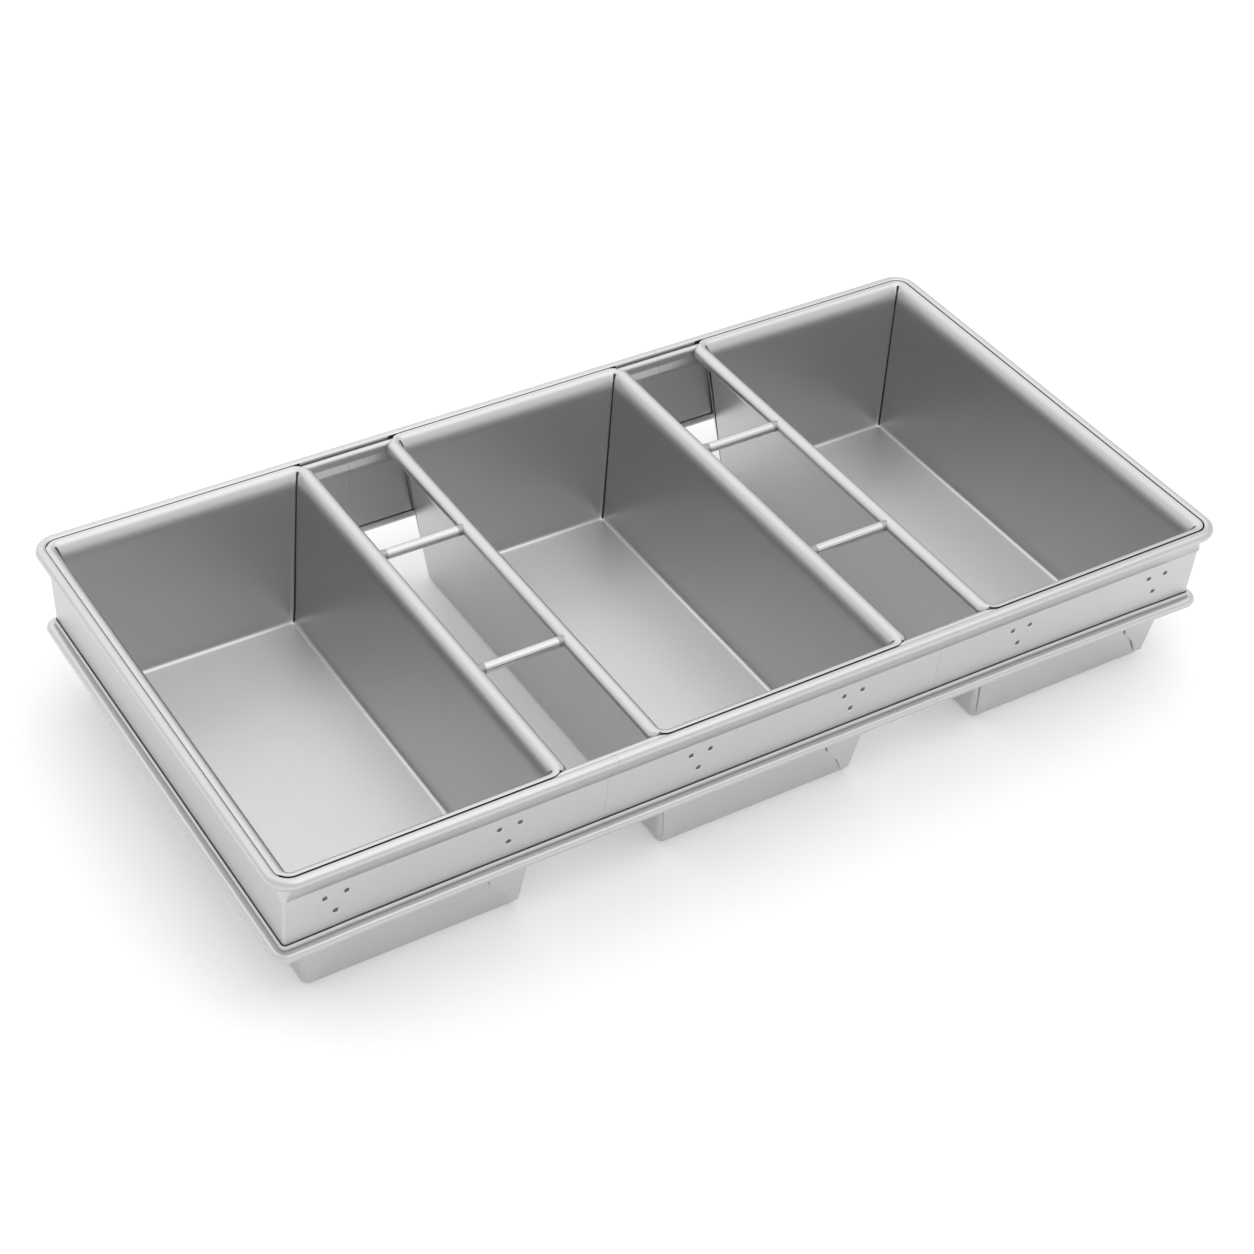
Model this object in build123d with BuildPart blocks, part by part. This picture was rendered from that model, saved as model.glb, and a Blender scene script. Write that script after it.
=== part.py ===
from build123d import *
import os

# A set of three sheet metal loaf pans held side by side in one wired strap.
# Millimetres. X runs along the three pans, Y along each pan, Z is up.
# The origin is on the surface that the pans stand on, at the middle of the set.

# Pans: the mouth is measured inside, at the height of the rim roll's centre.
# A flare is how far a wall leans out from the floor to that height.
pan_pitch = 165.0
pan_mouth_width = 114.4
pan_mouth_length = 223.8
pan_side_flare = 9.4
pan_end_flare = 9.85
pan_height = 76.8
pan_sheet = 0.8
pan_floor_bend = 3.0
pan_corner_margin = 0.4
mouth_corner_radius = 2.0

# Rolled rims and the wire inside them
rim_radius = 3.1
rim_lap = 1.4
roll_run = 2.0
curl_start_degrees = -125
curl_turn_degrees = 305

# Folded corner flaps on the end walls
flap_top_drop = 11.0
flap_toe_inset = 1.5
flap_mid_inset = 15.0
flap_mid_height = 19.0
flap_top_inset = 31.0

# Strap: drops are measured down from the rims, and the lean is how far its long
# walls come in for each millimetre of drop
strap_sheet = 1.2
strap_lean = 0.105
hem_corner_radius = 0.5
top_bead_radius = 2.6
top_bead_reach = 1.75
top_bead_rise = 0.5
skirt_sheet = 0.8
skirt_drop = 13.6
swage_drop = 10.3
swage_height = 4.0
swage_flat = 1.8
swage_depth = 0.8
low_bead_radius = 2.5
low_bead_reach = 1.0
low_bead_drop = 43.2
lip_sheet = 0.8
lip_standoff = 0.35
lip_rise = 2.1

# Tie rods between the pans
rod_diameter = 4.7
rod_spacing = 86.0
rod_end_gap = 0.3
rod_weld_run = 1.6
rod_weld_rise = 0.5

# Spot welds through the strap
spot_diameter = 3.0
spot_dimple_radius = 1.5
spot_dimple_depth = 0.35
spot_group_offset = 38.0
spot_pair_spacing = 9.3
spot_pair_drop = 20.9
spot_low_drop = 30.0

# Clearances and the overrun of every cut
contact_clearance = 0.1
wire_clearance = 0.1
seam_clearance = 0.2
overrun = 10.0

# Places that follow from the sizes
gap_sides = {"left": (1,), "middle": (-1, 1), "right": (-1,)}
pan_floor_width = pan_mouth_width + 2 * (pan_sheet - pan_side_flare)
pan_floor_length = pan_mouth_length + 2 * (pan_sheet - pan_end_flare)
floor_corner_radius = pan_floor_bend + pan_corner_margin
rim_half_width = pan_mouth_width / 2 + rim_radius
rim_half_length = pan_mouth_length / 2 + rim_radius
rim_corner_radius = mouth_corner_radius + rim_radius
rim_height = pan_height - rim_radius
roll_bore_radius = rim_radius - pan_sheet
seam_half_width = pan_pitch + rim_half_width + rim_lap
seam_half_length = rim_half_length + rim_lap
seam_corner_radius = rim_corner_radius + rim_lap
wall_outside = -contact_clearance - strap_sheet
wall_inside = wall_outside - strap_sheet
hem_top = -pan_sheet - contact_clearance
top_bead_centre = top_bead_rise - top_bead_radius
butt_place = pan_pitch / 2
side_slope = pan_side_flare / rim_height
end_slope = pan_end_flare / rim_height
gap_half = pan_pitch / 2 - rim_half_width - rim_radius
rod_radius = rod_diameter / 2
rod_weld_radius = rod_radius + min(rod_weld_rise, (rim_radius - rod_radius) / 2)
lean_height = pan_height + hem_top
dimple_sphere_radius = (spot_dimple_radius**2 + spot_dimple_depth**2) / (2 * spot_dimple_depth)


def save(piece, label):
    """Names a finished piece and writes it to its own file."""
    piece.part.label = label
    export_step(piece.part, f"parts/{label}.step")
    print(label, len(piece.part.solids()), "solids", round(piece.part.volume, 1))


def mirrored(piece, plane):
    """The same piece on the other side of a plane."""
    with BuildPart() as copy:
        add(piece.part.mirror(plane))
    return copy


def slab(left, right, bottom, top, mode=Mode.ADD):
    """A rectangle of a section, given by its four sides."""
    with Locations(((left + right) / 2, (bottom + top) / 2)):
        Rectangle(right - left, top - bottom, mode=mode)


def front_plane(place, distance, height=0):
    """The section plane at a place on the front side: local x outward, local y up."""
    return Plane(origin=(place, -distance, height), x_dir=(0, -1, 0), z_dir=(-1, 0, 0))


def side_path(start, corner, half_length, height, corner_radius):
    """An open path from the front, round one side, to the rear."""
    with BuildLine() as path:
        FilletPolyline(
            (start, -half_length, height),
            (corner, -half_length, height),
            (corner, half_length, height),
            (start, half_length, height),
            radius=corner_radius,
        )
    return path.wire()


def rim_path(centre, side, start):
    """The rim's centre line round one side of a pan."""
    corner = centre + side * rim_half_width
    return side_path(start, corner, rim_half_length, rim_height, rim_corner_radius)


def roll_section(start):
    """The rolled sheet of a rim: a curl that stops short of the wall it came from."""
    with BuildSketch(front_plane(start, rim_half_length, rim_height)) as section:
        with BuildLine():
            outer = CenterArc((0, 0), rim_radius, curl_start_degrees, curl_turn_degrees)
            inner = CenterArc((0, 0), roll_bore_radius, curl_start_degrees, curl_turn_degrees)
            Line(outer @ 0, inner @ 0)
            Line(outer @ 1, inner @ 1)
        make_face()
    return section.sketch


def flange_section(start):
    """The rim where it turns over the strap's hem and stops at the strap's bead."""
    reach = rim_lap - contact_clearance
    with BuildSketch(front_plane(start, rim_half_length, rim_height)) as section:
        with BuildLine():
            outer = CenterArc((0, 0), rim_radius, 90, 90)
            inner = CenterArc((0, 0), roll_bore_radius, 90, 90)
            Polyline(outer @ 0, (reach, rim_radius), (reach, roll_bore_radius), inner @ 0)
            Line(outer @ 1, inner @ 1)
        make_face()
    return section.sketch


def ring_outside(inset, bottom, top):
    """All that lies further out than a line beside the strap's seam, between two heights."""
    with BuildPart() as ring:
        with BuildSketch(Plane.XY.offset(bottom)):
            Rectangle(2 * (seam_half_width + overrun), 2 * (seam_half_length + overrun))
            RectangleRounded(
                2 * (seam_half_width - inset),
                2 * (seam_half_length - inset),
                seam_corner_radius - inset,
                mode=Mode.SUBTRACT,
            )
        extrude(amount=top - bottom)
    return ring.part


def leaned(piece):
    """The front half of a part that runs round the strap, its long wall leaned inward."""
    lean = Matrix([[1, 0, 0, 0], [0, 1, -strap_lean, strap_lean * lean_height], [0, 0, 1, 0]])
    reach = 2 * (seam_half_width + seam_half_length)
    with BuildPart() as half:
        add(piece.transform_geometry(lean))
        with BuildSketch(Plane.XZ):
            Rectangle(2 * reach, 2 * reach)
        extrude(amount=reach, mode=Mode.INTERSECT)
    return half.part


def whole(piece):
    """A part that runs round the strap, with both its long walls leaned inward."""
    front = leaned(piece)
    with BuildPart() as joined:
        add(front)
        add(front.mirror(Plane.XZ))
    return joined


def strap_space():
    """The space of the strap's wall and hem, and of its bead, where no rim may reach."""
    hem_clear = pan_height + hem_top + contact_clearance / 2
    wall_and_hem = ring_outside(contact_clearance - wall_inside, -overrun, hem_clear)
    bead = ring_outside(contact_clearance, hem_clear, pan_height + overrun)
    return whole(wall_and_hem).part, bead


def wall_plane(centre, side, distance, height, slope):
    """A leaning wall at one end: local x across the pan, local y up the wall, z outward."""
    lean = Vector(0, side * slope, 1).normalized()
    across = Vector(-side, 0, 0)
    foot = (centre, side * distance, height)
    return Plane(origin=foot, x_dir=across, z_dir=across.cross(lean))


def end_wall_plane(centre, side):
    """The outer face of a pan's end wall."""
    return wall_plane(centre, side, pan_floor_length / 2, 0, end_slope)


def corner_flap():
    """The outline of one corner's folded flap on the end wall."""
    foot = pan_floor_width / 2 - floor_corner_radius
    top = rim_height - flap_top_drop
    toe = (foot - flap_toe_inset, floor_corner_radius)
    middle = (pan_floor_width / 2 - flap_mid_inset, flap_mid_height)
    crest = (pan_floor_width / 2 - flap_top_inset, top)
    shoulder = (foot + side_slope * top, top)
    heel = (foot + side_slope * floor_corner_radius, floor_corner_radius)
    with BuildSketch() as flap:
        with BuildLine():
            ThreePointArc(toe, middle, crest)
            Polyline(crest, shoulder, heel, toe)
        make_face()
    return flap.sketch


def make_pan(centre, sides):
    """One pan: drafted tray, rolled rims on its gap sides, flanged rims under the strap."""
    run_end = rim_half_width - rim_corner_radius - roll_run
    wall_and_hem, bead = strap_space()
    with BuildPart() as pan:
        with BuildSketch(Plane((centre, 0, 0))):
            RectangleRounded(pan_floor_width, pan_floor_length, floor_corner_radius)
        with BuildSketch(Plane((centre, 0, rim_height))):
            RectangleRounded(
                pan_mouth_width + 2 * pan_sheet,
                pan_mouth_length + 2 * pan_sheet,
                mouth_corner_radius + pan_sheet,
            )
        loft()
        fillet(pan.faces().sort_by(Axis.Z)[0].edges(), pan_floor_bend)
        for end in (-1, 1):
            with BuildSketch(end_wall_plane(centre, end).offset(-pan_sheet / 2)):
                add(corner_flap())
                mirror(about=Plane.YZ)
            extrude(amount=pan_sheet * 3 / 2)
        with BuildSketch(Plane((centre, 0, pan_sheet))):
            RectangleRounded(
                pan_floor_width - 2 * pan_sheet,
                pan_floor_length - 2 * pan_sheet,
                floor_corner_radius - pan_sheet,
            )
        with BuildSketch(Plane((centre, 0, rim_height))):
            RectangleRounded(pan_mouth_width, pan_mouth_length, mouth_corner_radius)
        loft(mode=Mode.SUBTRACT)
        inner_floor = pan.faces().filter_by(Plane.XY).sort_by(Axis.Z)[1]
        fillet(inner_floor.edges(), pan_floor_bend - pan_sheet)
        for side in sides:
            start = centre + side * run_end
            sweep(sections=roll_section(start), path=rim_path(centre, side, start))
        if len(sides) == 1:
            start = centre + sides[0] * run_end
            sweep(sections=flange_section(start), path=rim_path(centre, -sides[0], start))
        else:
            sweep(sections=flange_section(centre - run_end), path=flange_run(centre, run_end))
            flange = flange_section(centre - run_end).mirror(Plane.XZ)
            sweep(sections=flange, path=flange_run(centre, run_end).mirror(Plane.XZ))
        add(wall_and_hem, mode=Mode.SUBTRACT)
        add(bead, mode=Mode.SUBTRACT)
    return pan


def flange_run(centre, run_end):
    """The straight front rim of a pan that has no corner under the strap."""
    with BuildLine() as run:
        Line(
            (centre - run_end, -rim_half_length, rim_height),
            (centre + run_end, -rim_half_length, rim_height),
        )
    return run.wire()


def make_rim_wires(centre, sides):
    """The wires inside the rolled rims of one pan, cut off where the strap begins."""
    run_end = rim_half_width - rim_corner_radius - roll_run
    wall_and_hem, bead = strap_space()
    with BuildPart() as wires:
        for side in sides:
            start = centre + side * run_end
            with BuildSketch(front_plane(start, rim_half_length, rim_height)) as section:
                Circle(roll_bore_radius - wire_clearance)
            sweep(sections=section.sketch, path=rim_path(centre, side, start))
        add(wall_and_hem, mode=Mode.SUBTRACT)
        add(bead, mode=Mode.SUBTRACT)
    return wires


def strap_section(start):
    """The strap's section, measured outward from its seam face and down from the rims."""
    neck_bottom = top_bead_centre - top_bead_radius
    skirt_outside = wall_outside + skirt_sheet
    lip_inside = wall_outside + lip_standoff
    lip_top = -low_bead_drop + low_bead_radius + lip_rise
    swage_face = wall_inside - swage_depth
    with BuildSketch(front_plane(start, seam_half_length, pan_height)) as section:
        with Locations((top_bead_reach, top_bead_centre)):
            Circle(top_bead_radius)
        slab(-overrun, contact_clearance, neck_bottom + strap_sheet, top_bead_rise, Mode.SUBTRACT)
        slab(wall_outside, top_bead_reach, neck_bottom, neck_bottom + strap_sheet)
        slab(wall_inside, -contact_clearance, neck_bottom, hem_top)
        fillet(section.vertices().group_by(Axis.X)[0].sort_by(Axis.Y)[-1], hem_corner_radius)
        slab(wall_inside, wall_outside, -low_bead_drop, neck_bottom)
        slab(wall_outside, skirt_outside, -skirt_drop, neck_bottom)
        with BuildLine():
            Polyline(
                (wall_inside, -swage_drop + swage_height / 2),
                (swage_face, -swage_drop + swage_flat / 2),
                (swage_face, -swage_drop - swage_flat / 2),
                (wall_inside, -swage_drop - swage_height / 2),
                close=True,
            )
        make_face()
        slab(wall_outside, lip_inside, -low_bead_drop, low_bead_radius - low_bead_drop)
        slab(lip_inside, lip_inside + lip_sheet, -low_bead_drop, lip_top)
        with Locations((low_bead_reach, -low_bead_drop)):
            Circle(low_bead_radius)
            Circle(low_bead_radius - strap_sheet, mode=Mode.SUBTRACT)
        with Locations((top_bead_reach, top_bead_centre)):
            Circle(top_bead_radius - strap_sheet, mode=Mode.SUBTRACT)
    return section.sketch


def spot_places(centre):
    """The three spot welds near each corner of a pan's end, as points across and up."""
    for side in (-1, 1):
        place = centre + side * spot_group_offset
        for offset in (-spot_pair_spacing / 2, spot_pair_spacing / 2):
            yield place + offset, pan_height - spot_pair_drop
        yield place, pan_height - spot_low_drop


def dimple_strap(centre, end):
    """Presses the spot weld dimples into the strap's outer face at one end of a pan."""
    face = seam_half_length + wall_outside + dimple_sphere_radius - spot_dimple_depth
    places = [(across, end * face, up) for across, up in spot_places(centre)]
    with Locations(*places):
        Sphere(dimple_sphere_radius, mode=Mode.SUBTRACT)


def make_strap_end(side):
    """A strap section that goes round one end of the set, between two butt seams."""
    start = side * (butt_place + seam_clearance / 2)
    corner = side * seam_half_width
    path = side_path(start, corner, seam_half_length, pan_height, seam_corner_radius)
    with BuildPart() as strap:
        sweep(sections=strap_section(start), path=path)
        dimple_strap(side * pan_pitch, -1)
    return whole(strap.part)


def make_strap_middle():
    """The straight strap section in front of the middle pan, between two butt seams."""
    reach = butt_place - seam_clearance / 2
    section = strap_section(-reach)
    with BuildLine() as run:
        Line((-reach, -seam_half_length, pan_height), (reach, -seam_half_length, pan_height))
    with BuildPart() as strap:
        sweep(sections=section, path=run.wire())
        dimple_strap(0, -1)
    with BuildPart() as front:
        add(leaned(strap.part))
    return front


def make_strap_wire(reach, height, radius):
    """The left half of the wire inside one of the strap's beads, butted at the middle."""
    start = -seam_clearance / 2
    corner = -seam_half_width - reach
    length = seam_half_length + reach
    path = side_path(start, corner, length, height, seam_corner_radius + reach)
    with BuildPart() as wire:
        with BuildSketch(front_plane(start, length, height)) as section:
            Circle(radius)
        sweep(sections=section.sketch, path=path)
    return whole(wire.part)


def make_rod(gap, place):
    """A tie rod across one gap, cut just short of both rims."""
    half = gap_half - rod_end_gap
    with BuildPart() as rod:
        with BuildSketch(Plane.YZ.offset(gap - half)):
            with Locations((place, rim_height)):
                Circle(rod_radius)
        extrude(amount=2 * half)
    return rod


def make_rod_welds(gap, place):
    """The two weld beads that join one tie rod to the rims at its ends."""
    half = gap_half - rod_end_gap
    with BuildPart() as welds:
        for side in (-1, 1):
            with BuildSketch(Plane.YZ.offset(gap + side * (half - rod_weld_run))):
                with Locations((place, rim_height)):
                    Circle(rod_radius)
            with BuildSketch(Plane.YZ.offset(gap + side * (gap_half + rim_radius))):
                with Locations((place, rim_height)):
                    Circle(rod_weld_radius)
            loft()
            with BuildSketch(Plane.XZ.offset(-place)):
                with Locations((gap + side * (gap_half + rim_radius), rim_height)):
                    Circle(rim_radius + contact_clearance / 2)
            extrude(amount=overrun, both=True, mode=Mode.SUBTRACT)
        with BuildSketch(Plane.YZ.offset(gap - half)):
            with Locations((place, rim_height)):
                Circle(rod_radius)
        extrude(amount=2 * half, mode=Mode.SUBTRACT)
    return welds


def make_spot_welds(centre, end):
    """Six weld nuggets that bridge from the strap's wall to one end of a pan."""
    face = seam_half_length + wall_inside
    strap_face = wall_plane(centre, end, face, lean_height, strap_lean)
    flap_face = end_wall_plane(centre, end).offset(pan_sheet)
    with BuildPart() as nuggets:
        with BuildSketch(Plane.XZ.offset(-end * face)):
            with Locations(*spot_places(centre)):
                Circle(spot_diameter / 2)
        extrude(amount=end * (face - pan_floor_length / 2))
        split(bisect_by=flap_face, keep=Keep.TOP)
        split(bisect_by=strap_face, keep=Keep.BOTTOM)
    return nuggets


def save_pan(word, centre, pan):
    """Writes one pan with its rim wires and the spot welds at its ends."""
    save(pan, f"pan_{word}")
    save(make_rim_wires(centre, gap_sides[word]), f"pan_{word}_rim_wires")
    for end, end_word in ((-1, "front"), (1, "rear")):
        save(make_spot_welds(centre, end), f"pan_{word}_{end_word}_spot_welds")


def save_gap(word, gap):
    """Writes the two tie rods of one gap and their welds."""
    for end, end_word in ((-1, "front"), (1, "rear")):
        place = end * rod_spacing / 2
        save(make_rod(gap, place), f"tie_rod_{word}_gap_{end_word}")
        save(make_rod_welds(gap, place), f"rod_welds_{word}_gap_{end_word}")


def save_strap():
    """Writes the strap's four sections and the wires in its two beads."""
    strap_left_end = make_strap_end(-1)
    strap_front_middle = make_strap_middle()
    save(strap_left_end, "strap_left_end")
    save(mirrored(strap_left_end, Plane.YZ), "strap_right_end")
    save(strap_front_middle, "strap_front_middle")
    save(mirrored(strap_front_middle, Plane.XZ), "strap_rear_middle")
    save_bead_wires("top", top_bead_reach, pan_height + top_bead_centre, top_bead_radius)
    save_bead_wires("bottom", low_bead_reach, pan_height - low_bead_drop, low_bead_radius)


def save_bead_wires(word, reach, height, bead_radius):
    """Writes the two lengths of wire inside one bead of the strap."""
    left = make_strap_wire(reach, height, bead_radius - strap_sheet - wire_clearance)
    save(left, f"strap_{word}_wire_left")
    save(mirrored(left, Plane.YZ), f"strap_{word}_wire_right")


os.makedirs("parts", exist_ok=True)
pan_left = make_pan(-pan_pitch, gap_sides["left"])
save_pan("left", -pan_pitch, pan_left)
save_pan("middle", 0, make_pan(0, gap_sides["middle"]))
save_pan("right", pan_pitch, mirrored(pan_left, Plane.YZ))
save_gap("left", -butt_place)
save_gap("right", butt_place)
save_strap()
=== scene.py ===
"""Dresses a set of three strapped loaf pans: drafted steel trays with wired rims in a beaded strap."""

import logging
import math
from collections.abc import Callable
from dataclasses import dataclass, field
from enum import Enum, IntEnum

import bmesh
import bpy
from bmesh.types import BMEdge, BMesh, BMVert
from bpy.types import Material, Node, NodeSocket, NodeTree, Object
from mathutils import Matrix, Vector


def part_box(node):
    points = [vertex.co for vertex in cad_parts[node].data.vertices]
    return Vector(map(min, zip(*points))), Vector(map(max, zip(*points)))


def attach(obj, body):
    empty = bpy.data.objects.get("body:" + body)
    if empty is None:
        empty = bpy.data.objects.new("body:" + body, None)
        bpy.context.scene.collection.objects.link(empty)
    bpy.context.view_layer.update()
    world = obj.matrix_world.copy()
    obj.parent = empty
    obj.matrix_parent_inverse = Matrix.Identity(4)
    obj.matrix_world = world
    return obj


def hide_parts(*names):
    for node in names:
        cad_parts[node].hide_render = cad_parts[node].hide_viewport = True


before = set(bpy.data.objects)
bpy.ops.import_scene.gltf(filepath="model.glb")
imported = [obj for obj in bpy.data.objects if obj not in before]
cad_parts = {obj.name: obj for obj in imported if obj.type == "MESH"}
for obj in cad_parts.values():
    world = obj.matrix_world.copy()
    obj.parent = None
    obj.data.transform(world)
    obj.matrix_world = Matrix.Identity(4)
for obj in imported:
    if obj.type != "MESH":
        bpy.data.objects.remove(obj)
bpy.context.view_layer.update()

LOG = logging.getLogger("strapped_loaf_pan")
MM = 0.001
SHARP_DEGREES = 38.0
PointAt = Callable[[float, float], Vector]


def linear(hex_colour: str) -> tuple[float, float, float, float]:
    """Turns an sRGB hex colour into the linear colour that a shader reads.

    Args:
        hex_colour: Six hex digits, with or without a leading hash.

    Returns:
        Red, green, blue and alpha, linear.
    """
    digits = hex_colour.lstrip("#")
    parts = [int(digits[place : place + 2], 16) / 255 for place in (0, 2, 4)]
    curve = [part / 12.92 if part <= 0.04045 else ((part + 0.055) / 1.055) ** 2.4 for part in parts]
    return (curve[0], curve[1], curve[2], 1.0)


def add_node(tree: NodeTree, kind: str, inputs: dict | None = None, **settings) -> Node:
    """Adds a shader node with its settings, values and links.

    Args:
        tree: The node tree that gets the node.
        kind: Blender's name for the node.
        inputs: Values, or sockets to link, for each named or numbered input.
        **settings: Properties set on the node itself.

    Returns:
        The new node.
    """
    node = tree.nodes.new(kind)
    for name, value in settings.items():
        setattr(node, name, value)
    for name, value in (inputs or {}).items():
        if isinstance(value, NodeSocket):
            tree.links.new(value, node.inputs[name])
        else:
            node.inputs[name].default_value = value
    return node


def blank_material(name: str) -> Material:
    """Makes a material with an empty node tree.

    Args:
        name: The material's name.

    Returns:
        The material, ready for its nodes.
    """
    made = bpy.data.materials.new(name)
    made.use_nodes = True
    made.node_tree.nodes.clear()
    return made


def noise(tree: NodeTree, place: NodeSocket, size_mm: float, detail: float) -> NodeSocket:
    """Adds a noise with patches of about one size, and returns its value."""
    inputs = {"Vector": place, "Scale": 1 / (size_mm * MM), "Detail": detail}
    return add_node(tree, "ShaderNodeTexNoise", inputs).outputs["Fac"]


def blend(tree: NodeTree, share: NodeSocket, first: str, second: str) -> NodeSocket:
    """Adds a mix of two hex colours, and returns its colour."""
    inputs = {"Factor": share, "A": linear(first), "B": linear(second)}
    return add_node(tree, "ShaderNodeMix", inputs, data_type="RGBA").outputs["Result"]


class Grain(Enum):
    """The way that a finish's fine lines run, as the axis they are stretched along."""

    ALONG_X = (0.04, 1.0, 1.0)
    ALONG_Y = (1.0, 0.04, 1.0)
    EVEN = (1.0, 1.0, 1.0)


class Skin(IntEnum):
    """The material slots of a sheet piece, in order."""

    SHEET = 0
    # Painted shade in folds and slots.
    PAINTED_SHADE = 1
    # Weld scorch that also carries painted shade in the pits.
    SCORCH_AND_SHADE = 2


@dataclass(frozen=True)
class SteelFinish:
    """A bare metal surface: its colour, its gloss, the grain that rolling left, and soft stains."""

    name: str
    colour: str
    stain_colour: str
    roughness: float
    grain: Grain = Grain.EVEN
    grain_mm: float = 0.6
    grain_depth_mm: float = 0.002
    roughness_swing: float = 0.05
    wave_mm: float = 60.0
    wave_depth_mm: float = 0.05
    stain_share: float = 0.6

    def material(self) -> Material:
        """Makes the finish's material.

        Returns:
            A node material that reads Object coordinates.
        """
        made = blank_material(self.name)
        tree = made.node_tree
        place = add_node(tree, "ShaderNodeTexCoord").outputs["Object"]
        stretch = add_node(tree, "ShaderNodeMapping", {"Vector": place, "Scale": self.grain.value})
        lines = noise(tree, stretch.outputs["Vector"], self.grain_mm, detail=3.0)
        stain = noise(tree, place, self.wave_mm * self.stain_share, detail=4.0)
        wave = noise(tree, place, self.wave_mm, detail=1.0)
        gloss = add_node(
            tree,
            "ShaderNodeMapRange",
            {
                "Value": lines,
                "To Min": self.roughness - self.roughness_swing,
                "To Max": self.roughness + self.roughness_swing,
            },
        )
        ripple = add_node(
            tree, "ShaderNodeBump", {"Height": wave, "Distance": self.wave_depth_mm * MM, "Strength": 1.0}
        )
        brushed = add_node(
            tree,
            "ShaderNodeBump",
            {
                "Height": lines,
                "Distance": self.grain_depth_mm * MM,
                "Strength": 1.0,
                "Normal": ripple.outputs["Normal"],
            },
        )
        shader = add_node(
            tree,
            "ShaderNodeBsdfPrincipled",
            {
                "Base Color": blend(tree, stain, self.colour, self.stain_colour),
                "Metallic": 1.0,
                "Roughness": gloss.outputs["Result"],
                "Normal": brushed.outputs["Normal"],
            },
        )
        add_node(tree, "ShaderNodeOutputMaterial", {"Surface": shader.outputs["BSDF"]})
        return made


@dataclass(frozen=True)
class PaintedShadeFinish:
    """Painted shade for folds and slots: nearly black, matt, with a little colour change."""

    name: str
    colour: str
    pale_colour: str
    roughness: float
    speck_mm: float = 1.5
    speck_depth_mm: float = 0.05

    def material(self) -> Material:
        """Makes the painted shade's material.

        Returns:
            A node material that reads Object coordinates.
        """
        made = blank_material(self.name)
        tree = made.node_tree
        place = add_node(tree, "ShaderNodeTexCoord").outputs["Object"]
        specks = noise(tree, place, self.speck_mm, detail=3.0)
        bump = add_node(tree, "ShaderNodeBump", {"Height": specks, "Distance": self.speck_depth_mm * MM})
        shader = add_node(
            tree,
            "ShaderNodeBsdfPrincipled",
            {
                "Base Color": blend(tree, specks, self.colour, self.pale_colour),
                "Roughness": self.roughness,
                "Normal": bump.outputs["Normal"],
            },
        )
        add_node(tree, "ShaderNodeOutputMaterial", {"Surface": shader.outputs["BSDF"]})
        return made


# Hot-dip aluminised sheet, skin-passed to a satin: a soft even grey that blurs what it mirrors, lined along the pan.
PAN_SHEET = SteelFinish("Satin aluminised steel pan sheet", "#CBCBCB", "#C7C7C7", 0.34, Grain.ALONG_Y)
# The same sheet rolled through forming dies: as soft a grey, with its fine lines along the strap.
STRAP_SHEET = SteelFinish("Roll-formed aluminised steel strap", "#C9C9C9", "#C5C5C5", 0.34, Grain.ALONG_X)
# Drawn low-carbon wire, left bright: no waves, faint lines along its length and a tighter highlight.
DRAWN_WIRE = SteelFinish(
    "Bright drawn steel wire", "#CFCFCF", "#CACACA", 0.28, Grain.ALONG_X, 0.4, 0.0001, 0.02, wave_depth_mm=0.0
)
# Resistance and fusion weld metal: greyer and rougher than the sheet, with a mottled skin.
WELD_METAL = SteelFinish(
    "As-welded steel bead", "#B4B4B4", "#8E8D8C", 0.42, grain_mm=0.9, grain_depth_mm=0.03, wave_mm=3.0
)
# The spot where a weld's electrode pressed: blued and dull heat tint, made darker as painted shade so that the pits
# read as dark points.
SCORCH_AND_PIT_SHADE = SteelFinish(
    "Scorched spot weld pit with painted shade", "#7A7876", "#5A5857", 0.45, grain_mm=0.5, grain_depth_mm=0.01, wave_mm=2.0
)
# Painted shade: a near-black matt material laid in folds and slots, standing for the thin dark line of shade up every
# corner and round the rims.
FOLD_SHADE_PAINT = PaintedShadeFinish("Painted shade in folds and slots", "#161514", "#2A2826", 0.6)


@dataclass
class Palette:
    """Every material of the set, made once."""

    pan: Material = field(default_factory=PAN_SHEET.material)
    strap: Material = field(default_factory=STRAP_SHEET.material)
    wire: Material = field(default_factory=DRAWN_WIRE.material)
    weld: Material = field(default_factory=WELD_METAL.material)
    # Weld scorch with painted shade for the pits.
    scorch_and_shade: Material = field(default_factory=SCORCH_AND_PIT_SHADE.material)
    # Painted shade for folds and slots.
    fold_shade: Material = field(default_factory=FOLD_SHADE_PAINT.material)


class Pen:
    """Draws the outline of a bent sheet in a mesh, one stretch after another."""

    def __init__(self, mesh: BMesh, start: Vector, turn_axis: Vector) -> None:
        """Puts the pen down.

        Args:
            mesh: The mesh that is drawn in.
            start: The first point.
            turn_axis: The axis that a positive turn goes round.
        """
        self.mesh = mesh
        self.turn_axis = turn_axis
        self.first = mesh.verts.new(start)
        self.tip = self.first
        self.edges: list[BMEdge] = []

    def line(self, *points: Vector) -> None:
        """Draws straight stretches to the points in turn."""
        for point in points:
            self._step()
            self.tip.co = point

    def arc(self, centre: Vector, degrees: float, parts: int) -> None:
        """Draws a round bend.

        Args:
            centre: The bend's centre.
            degrees: How far it turns.
            parts: How many straight parts stand for it.
        """
        turn = Matrix.Rotation(math.radians(degrees / parts), 3, self.turn_axis)
        for _ in range(parts):
            self._step()
            bmesh.ops.rotate(self.mesh, cent=centre, matrix=turn, verts=[self.tip])

    def close(self) -> list[BMEdge]:
        """Joins the end to the start and returns the outline's edges."""
        self.edges.append(self.mesh.edges.new((self.tip, self.first)))
        return self.edges

    def _step(self) -> None:
        """Extrudes the pen's tip by one vertex that still lies where the tip was."""
        made = bmesh.ops.extrude_vert_indiv(self.mesh, verts=[self.tip])
        self.tip = made["verts"][0]
        self.edges += made["edges"]


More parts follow.
